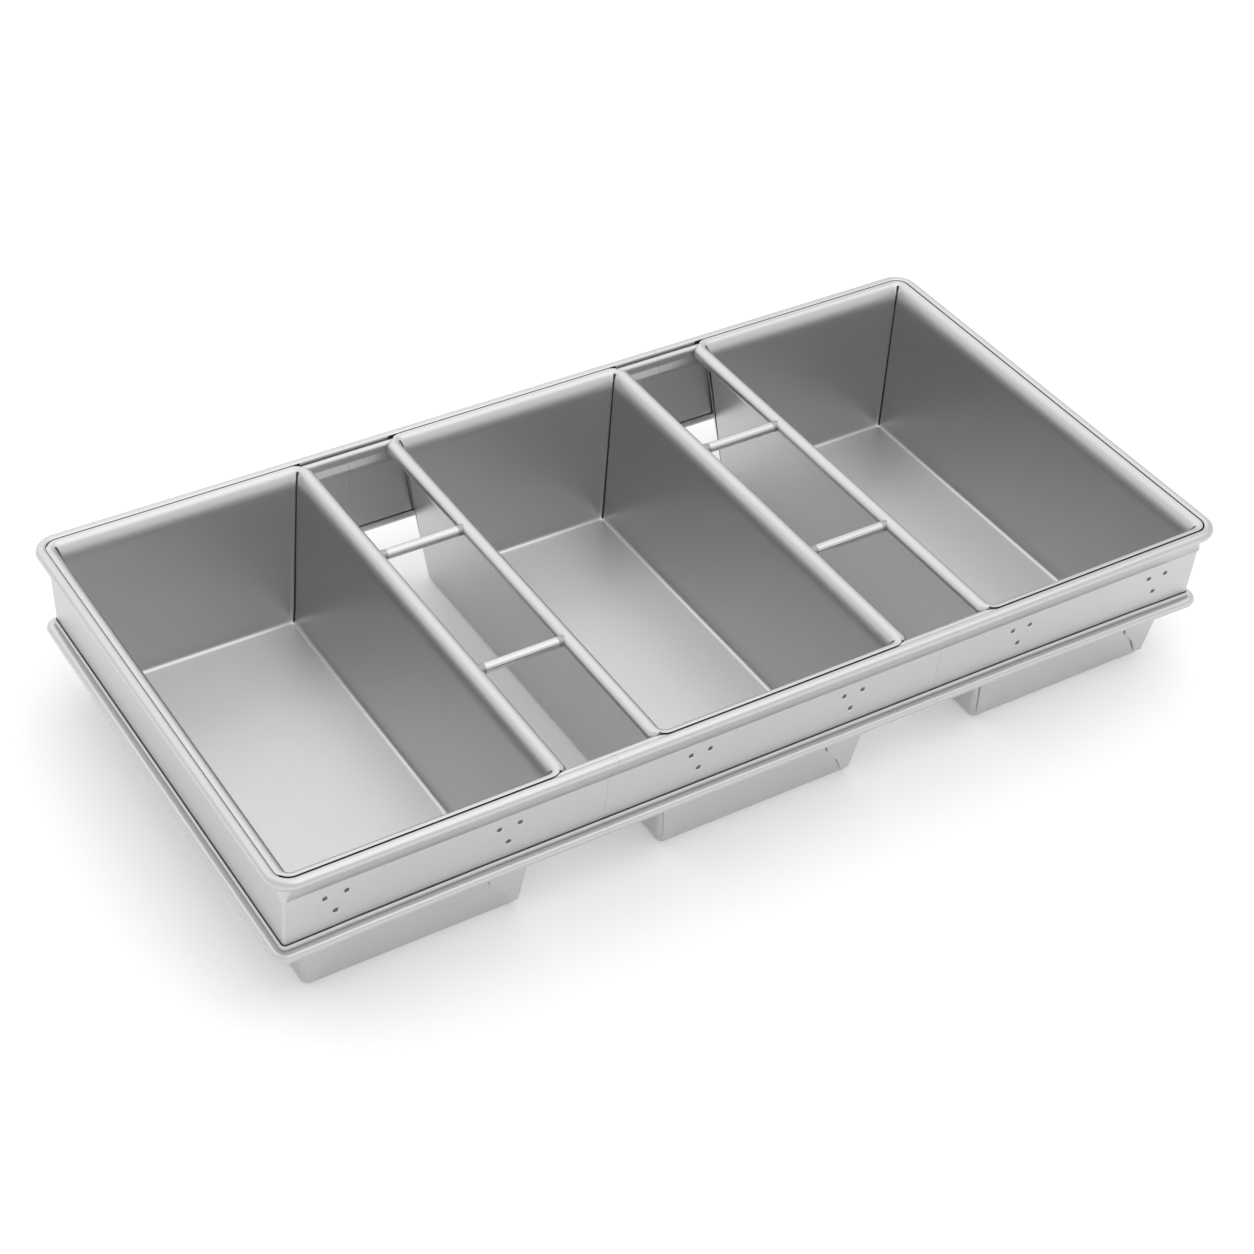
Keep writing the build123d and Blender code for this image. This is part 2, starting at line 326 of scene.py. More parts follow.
class Run:
    """A section carried along a line, as a forming mill carries sheet, leaving its skin behind."""

    def __init__(self, mesh: BMesh, edges: list[BMEdge]) -> None:
        """Starts at a section.

        Args:
            mesh: The mesh that holds the section.
            edges: The section's edges.
        """
        self.mesh = mesh
        self.edges = list(edges)

    def straight(self, step: Vector) -> None:
        """Carries the section straight on by one step."""
        verts = self.extrude()
        bmesh.ops.translate(self.mesh, vec=step, verts=verts)

    def turn(self, centre: Vector, degrees: float, steps: int) -> None:
        """Carries the section round an upright axis.

        Args:
            centre: A point of the axis.
            degrees: How far it turns.
            steps: How many parts the turn has.
        """
        verts = list({vert for edge in self.edges for vert in edge.verts})
        made = bmesh.ops.spin(
            self.mesh,
            geom=verts + self.edges,
            cent=centre,
            axis=Vector((0, 0, 1)),
            angle=math.radians(degrees),
            steps=steps,
            use_duplicate=False,
        )
        self.edges = [part for part in made["geom_last"] if isinstance(part, BMEdge)]

    def extrude(self) -> list[BMVert]:
        """Extrudes the section's edges in place and returns the new row of vertices."""
        made = bmesh.ops.extrude_edge_only(self.mesh, edges=self.edges)["geom"]
        row = {part for part in made if isinstance(part, BMVert)}
        self.edges = [part for part in made if isinstance(part, BMEdge) and set(part.verts) <= row]
        return list(row)


def finish_piece(
    mesh: BMesh, name: str, materials: list[Material], replaced: tuple[str, ...]
) -> Object:
    """Turns a mesh in millimetres into a finished piece of the set.

    Args:
        mesh: The mesh, which is freed.
        name: The piece's name.
        materials: Its materials, in slot order.
        replaced: The CAD nodes that it stands for.

    Returns:
        The piece, with its place in its mesh.
    """
    bmesh.ops.scale(mesh, vec=(MM, MM, MM), verts=mesh.verts)
    for face in mesh.faces:
        face.smooth = True
    for edge in mesh.edges:
        edge.smooth = edge.calc_face_angle(0.0) < math.radians(SHARP_DEGREES)
    data = bpy.data.meshes.new(name)
    mesh.to_mesh(data)
    mesh.free()
    for material in materials:
        data.materials.append(material)
    piece = bpy.data.objects.new(name, data)
    bpy.context.scene.collection.objects.link(piece)
    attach(piece, "root")
    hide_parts(*replaced)
    LOG.info("%s: %d faces", name, len(data.polygons))
    return piece


@dataclass(frozen=True)
class Ring:
    """A level rounded rectangle round a pan's middle, in millimetres."""

    half_width: float
    half_length: float
    radius: float
    height: float

    def corner(self, across: int, along: int) -> Vector:
        """Returns the centre of one corner's arc."""
        return Vector((across * (self.half_width - self.radius), along * (self.half_length - self.radius), self.height))

    def grown(self, amount: float, height: float) -> "Ring":
        """Returns the ring set out by an amount, at another height."""
        return Ring(self.half_width + amount, self.half_length + amount, self.radius + amount, height)

    def towards(self, other: "Ring", height: float) -> "Ring":
        """Returns the ring at a height on the straight wall from this one to another."""
        share = (height - self.height) / (other.height - self.height)
        return Ring(
            self.half_width + (other.half_width - self.half_width) * share,
            self.half_length + (other.half_length - self.half_length) * share,
            self.radius + (other.radius - self.radius) * share,
            height,
        )


@dataclass(frozen=True)
class SetSizes:
    """The sizes that all the pieces share, in millimetres, read from the frame where it shows them."""

    pitch: float
    rim_top: float
    sheet: float = 0.8
    mouth_half_width: float = 57.2
    mouth_half_length: float = 111.9
    mouth_radius: float = 1.2
    crest_radius: float = 5.1
    side_flare: float = 9.4
    end_flare: float = 9.85
    floor_bend: float = 2.2
    floor_corner: float = 2.6
    rim_radius: float = 3.1
    rim_bend: float = 5.4
    rim_bend_drop: float = 12.0
    roll_radius: float = 3.5
    rim_lap: float = 1.4
    flange_gap: float = 0.7
    strap_sheet: float = 1.2
    strap_lean: float = 0.105
    contact: float = 0.1

    @classmethod
    def from_frame(cls) -> "SetSizes":
        """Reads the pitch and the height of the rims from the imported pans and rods."""
        low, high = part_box("tie_rod_right_gap_front")
        pitch = (low.x + high.x) / MM
        rim_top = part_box("pan_middle")[1].z / MM
        LOG.info("pans every %.2f mm, rims at %.2f mm", pitch, rim_top)
        return cls(pitch=pitch, rim_top=rim_top)

    @property
    def rim_height(self) -> float:
        """The height of the rim rolls' centres."""
        return self.rim_top - self.rim_radius

    @property
    def seam_half_width(self) -> float:
        """How far the seam between rims and strap is from the middle, across the row."""
        return self.pitch + self.mouth_half_width + self.rim_radius + self.rim_lap

    @property
    def seam_half_length(self) -> float:
        """How far that seam is from the middle, along the pans."""
        return self.mouth_half_length + self.rim_radius + self.rim_lap

    @property
    def seam_radius(self) -> float:
        """The seam's corner radius."""
        return self.crest_radius + self.rim_lap

    @property
    def lean_height(self) -> float:
        """The height at which the strap's long walls begin to lean in."""
        return self.rim_top - self.sheet - self.contact


@dataclass
class Pan:
    """One pan: a tray folded from sheet, with rolled rims beside gaps and flanges under the strap."""

    word: str
    centre: float
    gap_sides: tuple[int, ...]
    sizes: SetSizes
    rows: list[tuple[Ring, list[BMVert]]] = field(default_factory=list, init=False)
    corner_parts: int = 8
    bend_parts: int = 4
    rim_parts: int = 10
    curl_parts: int = 16
    curl_turn: float = 215.0
    curl_end_round: float = 3.6
    curl_end_margin: float = 0.3
    wire_parts: int = 24
    snug_side: int = 0
    snug_shift: float = 0.6
    seam_depth: float = 0.6
    seam_foot: float = 8.0
    seam_degrees: float = 20.0
    seam_core_degrees: float = 20.0 / 3
    seam_fade: float = 2.2
    seam_stop: float = 0.3
    edge_upright: float = 0.5
    flap_top_drop: float = 11.0
    flap_toe_inset: float = 1.5
    flap_mid_inset: float = 15.0
    flap_mid_height: float = 19.0
    flap_top_inset: float = 31.0
    flap_low_bow: float = 1.2
    flap_high_bow: float = 1.8

    def build(self, palette: Palette) -> None:
        """Builds and dresses the pan and the wires in its rolls.

        Args:
            palette: The materials.
        """
        mesh = bmesh.new()
        run = self.tray(mesh)
        self.rims(mesh, run)
        bmesh.ops.recalc_face_normals(mesh, faces=mesh.faces)
        floor = min(mesh.faces, key=lambda face: face.calc_center_median().z)
        if floor.normal.z < 0:
            bmesh.ops.reverse_faces(mesh, faces=mesh.faces)
        bmesh.ops.solidify(mesh, geom=mesh.faces[:], thickness=self.sizes.sheet)
        self.seams()
        self.paint_edge_shade(mesh)
        for end in (-1, 1):
            for side in (-1, 1):
                self.flap(mesh, side, end)
        bmesh.ops.translate(mesh, vec=(self.centre, 0, 0), verts=mesh.verts)
        finish_piece(mesh, f"{self.word}_pan_sheet", [palette.pan, palette.fold_shade], (f"pan_{self.word}",))
        self.wires(palette)

    def tray(self, mesh: BMesh) -> Run:
        """Makes the tray's inner face, from its floor to where the rims begin.

        Args:
            mesh: The mesh that gets it.

        Returns:
            A run that stands at the tray's mouth.
        """
        s = self.sizes
        wall_turn = math.atan(s.rim_height / s.side_flare)
        tangent = s.floor_bend * math.tan(wall_turn / 2)
        base = Ring(
            s.mouth_half_width - s.side_flare - tangent,
            s.mouth_half_length - s.end_flare - tangent,
            s.floor_corner - tangent,
            s.sheet,
        )
        grid = bmesh.ops.create_grid(mesh, x_segments=1, y_segments=1, size=1.0)
        bmesh.ops.scale(mesh, vec=(base.half_width, base.half_length, 1), verts=grid["verts"])
        bmesh.ops.translate(mesh, vec=(0, 0, base.height), verts=grid["verts"])
        bmesh.ops.bevel(
            mesh,
            geom=mesh.verts[:],
            offset=base.radius,
            offset_type="OFFSET",
            segments=self.corner_parts,
            profile=0.5,
            material=-1,
            affect="VERTICES",
        )
        run = Run(mesh, mesh.edges[:])
        ring = base
        for part in range(1, self.bend_parts + 1):
            angle = wall_turn * part / self.bend_parts
            bend = s.floor_bend
            ring = self.climb(run, ring, base.grown(bend * math.sin(angle), s.sheet + bend * (1 - math.cos(angle))))
        mouth = self.rim_ring(1.0)
        for height in (self.seam_foot, mouth.height - s.floor_bend):
            ring = self.climb(run, ring, ring.towards(mouth, height))
        self.climb(run, ring, mouth)
        return run

    def rim_ring(self, share: float) -> Ring:
        """Returns the ring at a share of the bend between a rim's crest, 0, and the wall, 1."""
        s = self.sizes
        wall_slope = (s.side_flare + s.rim_radius - s.rim_bend) / (s.rim_top - s.rim_bend_drop)
        turn = math.atan(s.rim_bend / s.rim_bend_drop / wall_slope) * share
        inset = s.rim_bend * math.sin(turn)
        return Ring(
            s.mouth_half_width + s.rim_radius - inset,
            s.mouth_half_length + s.rim_radius - inset,
            s.crest_radius - (s.crest_radius - s.mouth_radius) * math.sin(turn),
            s.rim_top - s.rim_bend_drop * (1 - math.cos(turn)),
        )

    def climb(self, run: Run, start: Ring, end: Ring) -> Ring:
        """Carries the run's row of vertices from one ring to the next.

        Args:
            run: The run, which stands at the first ring.
            start: The first ring.
            end: The next ring.

        Returns:
            The ring that the run then stands at.
        """
        row = run.extrude()
        for across in (-1, 1):
            for along in (-1, 1):
                group = [vert for vert in row if vert.co.x * across > 0 and vert.co.y * along > 0]
                share = end.radius / start.radius
                move = (
                    Matrix.Translation(end.corner(across, along))
                    @ Matrix.Diagonal((share, share, 1, 1))
                    @ Matrix.Translation(-start.corner(across, along))
                )
                bmesh.ops.transform(run.mesh, matrix=move, verts=group)
        self.rows.append((end, row))
        return end

    def seams(self) -> None:
        """Opens the folded corners' seams: a groove up each inside corner, from the floor to the rim, with painted
        shade along its core for the dark line of the crease.
        """
        s = self.sizes
        for ring, row in self.rows:
            rise = (ring.height - s.sheet - s.floor_bend / 2) / self.seam_foot
            fall = (s.rim_top - ring.height) / s.rim_bend_drop * self.seam_fade - self.seam_stop
            depth = self.seam_depth * max(0.0, min(1.0, rise, fall))
            if depth == 0:
                continue
            for vert in row:
                across, along = math.copysign(1, vert.co.x), math.copysign(1, vert.co.y)
                arm = vert.co - ring.corner(across, along)
                off = abs(math.degrees(math.atan2(arm.y * along, arm.x * across)) - 45)
                if off < self.seam_degrees:
                    vert.co += Vector((across, along, 0)).normalized() * depth
                # Painted shade: the groove's core faces get the near-black fold material.
                if off < self.seam_core_degrees:
                    for face in vert.link_faces:
                        face.material_index = Skin.PAINTED_SHADE

    def paint_edge_shade(self, mesh: BMesh) -> None:
        """Paints shade on the sheet's upright faces just under the rim top, the cut edge beside the strap, for the dark
        line of the slot.

        Args:
            mesh: The pan's mesh, with its thickness.
        """
        for face in mesh.faces:
            drop = self.sizes.rim_top - face.calc_center_median().z
            # Painted shade: upright faces just below the rim top get the near-black fold material.
            if 0 < drop < self.sizes.sheet and abs(face.normal.z) < self.edge_upright:
                face.material_index = Skin.PAINTED_SHADE

    def rims(self, mesh: BMesh, run: Run) -> None:
        """Turns the tray's edge over all round, then curls it at the gaps and flattens it under the strap.

        Args:
            mesh: The tray's mesh.
            run: The run that stands at the tray's mouth.
        """
        s = self.sizes
        ring = self.rim_ring(1.0)
        crest = self.rim_ring(0.0)
        for part in range(1, self.rim_parts + 1):
            ring = self.climb(run, ring, self.rim_ring(1 - part / self.rim_parts))
        top = run.edges
        corner_cut = crest.radius * (1 - math.sin(math.radians(45.0)))
        curl_end = crest.half_length - corner_cut + self.curl_end_margin / 2
        flange = list(top)
        for side in self.gap_sides:
            curl = [
                edge
                for edge in top
                if all(vert.co.x * side > 0 and abs(vert.co.y) < curl_end for vert in edge.verts)
                and abs(edge.verts[0].co.x) + abs(edge.verts[1].co.x) > crest.half_width
            ]
            flange = [edge for edge in flange if edge not in curl]
            self.curl(mesh, curl, side, crest)
        self.climb(Run(mesh, flange), crest, crest.grown(s.rim_lap - s.flange_gap, s.rim_top))
        for vert in self.rows[-1][1]:
            if vert.co.x * self.snug_side > crest.half_width:
                vert.co.x += self.snug_side * self.snug_shift

    def curl(self, mesh: BMesh, edges: list[BMEdge], side: int, crest: Ring) -> None:
        """Rolls one gap side's edge round its wire, with both ends rounded off short of the strap.

        Args:
            mesh: The tray's mesh.
            edges: The edges at the roll's crest.
            side: Which side of the pan it is on.
            crest: The ring that the crest lies on.
        """
        s = self.sizes
        roll = Run(mesh, edges)
        straight = crest.half_length - crest.radius
        outside = crest.half_width + s.roll_radius
        bend_start = straight + self.curl_end_margin
        for part in range(1, self.curl_parts + 1):
            angle = math.radians(90 - self.curl_turn * part / self.curl_parts)
            for vert in roll.extrude():
                past = max(0.0, abs(vert.co.y) - straight)
                crest_x = crest.half_width - crest.radius + math.sqrt(crest.radius**2 - past**2)
                bent = max(0.0, abs(vert.co.y) - bend_start)
                edge_x = outside - self.curl_end_round + math.sqrt(self.curl_end_round**2 - bent**2)
                vert.co.x = side * (crest_x + (edge_x - crest_x) * math.cos(angle))
                vert.co.z = s.rim_top - s.roll_radius * (1 - math.sin(angle))

    def flap(self, mesh: BMesh, side: int, end: int) -> None:
        """Adds one corner's folded flap to the outside of an end wall.

        Args:
            mesh: The pan's mesh.
            side: Which side of the pan it is on.
            end: Which end wall it lies on.
        """
        s = self.sizes
        slope = s.end_flare / s.rim_height
        side_slope = s.side_flare / s.rim_height
        half_width = s.mouth_half_width - s.side_flare + s.sheet
        foot = half_width - s.sheet * 2
        low = s.floor_corner + s.sheet
        top = s.rim_height - self.flap_top_drop
        outer = s.mouth_half_length - s.end_flare + s.sheet
        lean = Vector((0, end * slope, 1)).normalized()

        def on_wall(across: float, up: float) -> Vector:
            """Returns the point of the end wall at a distance across and up it."""
            return Vector((side * across, end * outer, 0)) + lean * up

        toe = on_wall(half_width - low - self.flap_toe_inset, low)
        middle = on_wall(half_width - self.flap_mid_inset, self.flap_mid_height)
        crest = on_wall(half_width - self.flap_top_inset, top)
        outward = Vector((0, end, -slope)).normalized()
        bow = (toe - crest).cross(outward).normalized() * side * end
        pen = Pen(mesh, toe, outward)
        pen.line(
            toe.lerp(middle, 0.5) + bow * self.flap_low_bow,
            middle,
            middle.lerp(crest, 0.5) + bow * self.flap_high_bow,
            crest,
            on_wall(foot + side_slope * top, top),
            on_wall(foot + side_slope * low, low),
        )
        pen.close()
        face = bmesh.ops.contextual_create(mesh, geom=pen.edges)["faces"]
        lifted = bmesh.ops.extrude_face_region(mesh, geom=face)["geom"]
        verts = [part for part in lifted if isinstance(part, BMVert)]
        bmesh.ops.translate(mesh, vec=outward * s.sheet, verts=verts)
        plate = list({linked for vert in verts for linked in vert.link_faces} | set(face))
        bmesh.ops.recalc_face_normals(mesh, faces=plate)

    def wires(self, palette: Palette) -> None:
        """Lays the wire inside each roll.

        Args:
            palette: The materials.
        """
        s = self.sizes
        mesh = bmesh.new()
        reach = s.mouth_half_length + s.rim_radius - s.crest_radius
        radius = s.rim_radius - s.sheet - s.contact
        for side in self.gap_sides:
            made = bmesh.ops.create_cone(
                mesh,
                cap_ends=True,
                cap_tris=False,
                segments=self.wire_parts,
                radius1=radius,
                radius2=radius,
                depth=2 * reach,
                matrix=Matrix.Rotation(math.pi / 2, 4, "X"),
            )
            place = (self.centre + side * (s.mouth_half_width + s.rim_radius), 0, s.rim_height)
            bmesh.ops.translate(mesh, vec=place, verts=made["verts"])
        name = f"pan_{self.word}_rim_wires"
        finish_piece(mesh, f"{self.word}_pan_rim_wires", [palette.wire], (name,))


@dataclass
class Strap:
    """The strap round the set: four roll-formed lengths with a hem, two wired beads and a skirt."""

    sizes: SetSizes
    butt_place: float = 82.5
    butt_gap: float = 0.07
    hem_radius: float = 1.5
    hem_parts: int = 8
    hem_proud: float = 0.9
    hem_end: float = 4.9
    hem_slope: float = 0.3
    slot_depth: float = 1.5
    bead_radius: float = 2.6
    bead_reach: float = 1.75
    bead_drop: float = 2.1
    bead_turn: float = 112.0
    bead_parts: int = 20
    skirt_reach: float = 0.8
    skirt_drop: float = 13.6
    skirt_neck: tuple[tuple[float, float], ...] = ((0.55, 5.05), (0.2, 5.6), (0.0, 6.5))
    skirt_bevel_in: float = 0.2
    skirt_bevel_up: float = 0.25
    swage_drop: float = 8.6
    swage_height: float = 5.0
    swage_flat: float = 1.2
    swage_depth: float = 1.6
    loop_inset: float = 0.7
    tuck_rise: float = 3.2
    tuck_gap: float = 0.6
    tuck_proud: float = 0.35
    tuck_start: float = 0.4
    tuck_inset: float = 0.4
    low_bead_radius: float = 2.5
    low_bead_reach: float = 1.0
    low_bead_drop: float = 43.2
    low_bead_turn: float = 100.0
    low_bead_parts: int = 18
    low_tail: tuple[tuple[float, float], ...] = ((-0.9, 2.05), (-1.9, 1.1))
    lip_sheet: float = 0.8
    lip_standoff: float = 0.28
    lip_rise: float = 2.1
    lip_lap: float = 2.4
    lip_edge: tuple[tuple[float, float], ...] = ((0.0, 0.4), (0.1, 0.08), (0.25, 0.0), (0.5, 0.2), (0.8, 0.7))
    corner_steps: int = 10
    weld_offset: float = 38.0
    weld_spacing: float = 9.3
    weld_drop: float = 20.9
    weld_low_drop: float = 30.0
    dimple_patch: float = 4.0
    dimple_cuts: int = 15
    pit_depth: float = 0.9
    pit_width: float = 0.85
    dish_depth: float = 0.1
    dish_edge: float = 4.0
    scorch_and_shade_radius: float = 1.0
    lean_fade: float = 60.0
    corner_lean: float = 0.7
    corner_sharpening: float = 3.6
    sharpening_fade: float = 5.0
    tolerance: float = 0.01

    @property
    def outside(self) -> float:
        """How far out from the seam the wall's outer face is."""
        return -self.sizes.contact - self.sizes.strap_sheet

    @property
    def inside(self) -> float:
        """How far out from the seam the wall's inner face is."""
        return self.outside - self.sizes.strap_sheet

    def build(self, palette: Palette) -> None:
        """Builds and dresses the four lengths of the strap.

        Args:
            palette: The materials.
        """
        for word, side in (("left", -1), ("right", 1)):
            self.end_length(palette, word, side)
        for word, end in (("front", -1), ("rear", 1)):
            self.middle_length(palette, word, end)

    def section(self, mesh: BMesh, place: float) -> list[BMEdge]:
        """Draws the strap's section across its front side.

        Args:
            mesh: The mesh that gets it.
            place: Where along the row it stands.

        Returns:
            The edges of its closed outline.
        """
        s = self.sizes

        def at(reach: float, drop: float) -> Vector:
            """Returns the point at a distance out from the seam and down from the rims."""
            return Vector((place, -s.seam_half_length - reach, s.rim_top - drop))

        hem_centre = s.sheet + s.contact + self.hem_radius
        pen = Pen(mesh, at(self.inside - self.hem_proud, hem_centre), Vector((-1, 0, 0)))
        pen.arc(at(self.inside - self.hem_proud + self.hem_radius, hem_centre), -180, self.hem_parts)
        self.draw_top_bead(pen, at)
        self.draw_outside(pen, at)
        self.draw_bottom_bead(pen, at)
        self.draw_inside(pen, at)
        return pen.close()

    def draw_top_bead(self, pen: Pen, at: PointAt) -> None:
        """Draws the slot beside the pans' rims, and the top bead."""
        s = self.sizes
        slot = self.bead_drop + self.slot_depth
        pen.line(at(-s.flange_gap, slot), at(s.contact, slot))
        start = math.acos((s.contact - self.bead_reach) / self.bead_radius)
        pen.line(at(s.contact, self.bead_drop - self.bead_radius * math.sin(start)))
        pen.arc(at(self.bead_reach, self.bead_drop), -math.degrees(start) - self.bead_turn, self.bead_parts)

    def draw_outside(self, pen: Pen, at: PointAt) -> None:
        """Draws the skirt under the top bead, and the outer wall with points level with each weld."""
        skirt = self.outside + self.skirt_reach
        patch = self.dimple_patch / 2
        pen.line(*(at(skirt + out, drop) for out, drop in self.skirt_neck))
        pen.line(at(skirt, self.skirt_drop - self.skirt_bevel_up), at(skirt - self.skirt_bevel_in, self.skirt_drop))
        pen.line(at(self.outside, self.skirt_drop))
        for drop in (self.weld_drop, self.weld_low_drop):
            pen.line(at(self.outside, drop - patch), at(self.outside, drop + patch))

    def draw_bottom_bead(self, pen: Pen, at: PointAt) -> None:
        """Draws the lip that laps the wall, with its rounded edge, and the bottom bead with its tail."""
        lip_in = self.outside + self.lip_standoff
        lip_top = self.low_bead_drop - self.low_bead_radius - self.lip_rise
        pen.line(at(self.outside, lip_top + self.lip_lap), at(lip_in, lip_top + self.lip_lap))
        pen.line(*(at(lip_in + out, lip_top + drop) for out, drop in self.lip_edge))
        lip_out = lip_in + self.lip_sheet
        lift = math.acos((lip_out - self.low_bead_reach) / self.low_bead_radius)
        pen.line(at(lip_out, self.low_bead_drop - self.low_bead_radius * math.sin(lift)))
        turn = math.degrees(lift) + self.low_bead_turn
        pen.arc(at(self.low_bead_reach, self.low_bead_drop), -turn, self.low_bead_parts)
        pen.line(*(at(out, self.low_bead_drop + drop) for out, drop in self.low_tail))

    def draw_inside(self, pen: Pen, at: PointAt) -> None:
        """Draws the edge tucked inside the bottom bead, the slit over it, and the inner wall with its swage."""
        edge, slit = self.inside - self.tuck_proud, self.outside - self.tuck_inset
        tuck = self.low_bead_drop - self.tuck_rise
        pen.line(at(edge, self.low_bead_drop - self.tuck_start), at(edge, tuck + self.tuck_gap))
        pen.line(at(slit, tuck + self.tuck_gap), at(slit, tuck), at(self.inside, tuck))
        low = self.swage_drop + self.swage_height / 2
        pen.line(at(self.inside, tuck - self.loop_inset), at(self.inside, low + self.loop_inset), at(self.inside, low))
        crest = self.inside - self.swage_depth
        for half in (1, -1):
            pen.line(at(crest, self.swage_drop + half * self.swage_flat / 2))
        pen.line(at(self.inside, self.swage_drop - self.swage_height / 2), at(self.inside, self.hem_end))
        pen.line(at(self.inside - self.hem_proud, self.hem_end - self.hem_slope))

    def weld_places(self, centre: float) -> list[tuple[float, float]]:
        """Returns the spot welds near one pan's end, as places along the row and drops."""
        places = []
        for side in (-1, 1):
            middle = centre + side * self.weld_offset
            places += [(middle + half * self.weld_spacing / 2, self.weld_drop) for half in (-1, 1)]
            places.append((middle, self.weld_low_drop))
        return places

    def stations(self, start: float, stop: float, centre: float) -> list[float]:
        """Lists where the section stops between two places, so that a flat patch lies round each weld.

        Args:
            start: Where the run starts.
            stop: Where it ends.
            centre: The middle of the pan whose welds it passes.

        Returns:
            The places in order, with the last one at stop.
        """
        patch = self.dimple_patch / 2
        rim_reach = self.sizes.mouth_half_width + self.sizes.rim_radius
        edges = {place + half * patch for place, _ in self.weld_places(centre) for half in (-1, 1)}
        edges |= {centre - rim_reach, centre + rim_reach}
        between = [edge for edge in edges if min(start, stop) < edge < max(start, stop)]
        return sorted(between, reverse=stop < start) + [stop]

    def walk(self, run: Run, start: float, places: list[float]) -> None:
        """Carries the section along the row to each place in turn."""
        for place in places:
            run.straight(Vector((place - start, 0, 0)))
            start = place

    def end_length(self, palette: Palette, word: str, side: int) -> None:
        """Builds the length that goes round one end of the set.

        Args:
            palette: The materials.
            word: Which end, for the names.
            side: Which end, as a sign.
        """
        s = self.sizes
        mesh = bmesh.new()
        start = side * (self.butt_place + self.butt_gap / 2)
        corner = side * (s.seam_half_width - s.seam_radius)
        first = self.section(mesh, start)
        run = Run(mesh, first)
        centre = side * s.pitch
        self.walk(run, start, self.stations(start, corner, centre))
        inner_length = s.seam_half_length - s.seam_radius
        run.turn(Vector((corner, -inner_length, 0)), side * 90, self.corner_steps)
        run.straight(Vector((0, 2 * inner_length, 0)))
        run.turn(Vector((corner, inner_length, 0)), side * 90, self.corner_steps)
        self.walk(run, corner, self.stations(corner, start, centre))
        self.close_up(mesh, [first, run.edges], centre, (-1, 1))
        self.dress(mesh, palette, word, f"strap_{word}_end")

    def middle_length(self, palette: Palette, word: str, end: int) -> None:
        """Builds the straight length before the middle pan.

        Args:
            palette: The materials.
            word: Front or rear, for the names.
            end: Front or rear, as a sign.
        """
        mesh = bmesh.new()
        reach = self.butt_place - self.butt_gap / 2
        first = self.section(mesh, -reach)
        run = Run(mesh, first)
        self.walk(run, -reach, self.stations(-reach, reach, 0.0))
        if end > 0:
            bmesh.ops.scale(mesh, vec=(1, -1, 1), verts=mesh.verts)
        self.close_up(mesh, [first, run.edges], 0.0, (end,))
        self.dress(mesh, palette, word, f"strap_{word}_middle")

    def dress(self, mesh: BMesh, palette: Palette, word: str, node: str) -> None:
        """Turns a closed length into the piece that stands for its CAD node."""
        skins = [palette.strap, palette.fold_shade, palette.scorch_and_shade]
        finish_piece(mesh, f"strap_{word}_length", skins, (node,))

    def close_up(self, mesh: BMesh, outlines: list[list[BMEdge]], centre: float, ends: tuple[int, ...]) -> None:
        """Closes both ends of a length, paints shade into its slot, presses its dimples and shapes its walls.

        Args:
            mesh: The length's mesh.
            outlines: The edges of its first and last section.
            centre: The middle of the pan whose welds it carries.
            ends: The sides of the set that it runs along.
        """
        for outline in outlines:
            bmesh.ops.contextual_create(mesh, geom=outline)
        bmesh.ops.recalc_face_normals(mesh, faces=mesh.faces)
        self.paint_slot_shade(mesh)
        for end in ends:
            for place, drop in self.weld_places(centre):
                self.dimple(mesh, place, end, drop)
        self.sharpen_corners(mesh)
        self.lean(mesh)

    def paint_slot_shade(self, mesh: BMesh) -> None:
        """Paints shade into the slot between the pans' rims and the top bead, for its dark line.

        Args:
            mesh: The length's mesh, before its walls lean.
        """
        s = self.sizes
        corner = Vector((s.seam_half_width - s.seam_radius, s.seam_half_length - s.seam_radius))
        for face in mesh.faces:
            middle = face.calc_center_median()
            arm = Vector((abs(middle.x), abs(middle.y))) - corner
            reach = (arm.length if min(arm) > 0 else max(arm)) - s.seam_radius
            if abs(abs(middle.x) - s.pitch / 2) < s.pitch / 2 - s.mouth_half_width - s.rim_radius:
                continue
            # Painted shade: slot faces beside the pans' rims get the near-black fold material.
            if -s.flange_gap < reach < 2 * s.contact and s.sheet < s.rim_top - middle.z < 2 * self.bead_drop:
                face.material_index = Skin.PAINTED_SHADE

    @staticmethod
    def smooth(share: float) -> float:
        """Returns a soft step from 0 to 1 as the share goes from 0 to 1."""
        held = max(0.0, min(1.0, share))
        return held * held * (3 - 2 * held)

    def sharpen_corners(self, mesh: BMesh) -> None:
        """Draws the strap's corners below the top bead out to a sharper bend than the bead's own.

        Args:
            mesh: The length's mesh, before its walls lean.
        """
        s = self.sizes
        corner = Vector((s.seam_half_width - s.seam_radius, s.seam_half_length - s.seam_radius))
        for vert in mesh.verts:
            arm = Vector((abs(vert.co.x), abs(vert.co.y))) - corner
            if min(arm) < -self.tolerance:
                continue
            below = s.rim_top - vert.co.z - self.skirt_drop / 2
            out = self.corner_sharpening * self.smooth(below / self.sharpening_fade)
            place = corner + Vector((out, out)) + arm * (1 - out / arm.length)
            vert.co.x = math.copysign(place.x, vert.co.x)
            vert.co.y = math.copysign(place.y, vert.co.y)

    def lean(self, mesh: BMesh) -> None:
        """Leans the long walls in, and a little less towards the corners.

        Args:
            mesh: The length's mesh.
        """
        s = self.sizes
        for vert in mesh.verts:
            below = s.lean_height - vert.co.z
            near = self.smooth((abs(vert.co.x) - s.seam_half_width + self.lean_fade) / self.lean_fade)
            low = self.smooth((below - self.skirt_drop / 2) / self.skirt_drop)
            share = 1 - (1 - self.corner_lean) * near * low
            vert.co.y -= math.copysign(s.strap_lean * below * share, vert.co.y)

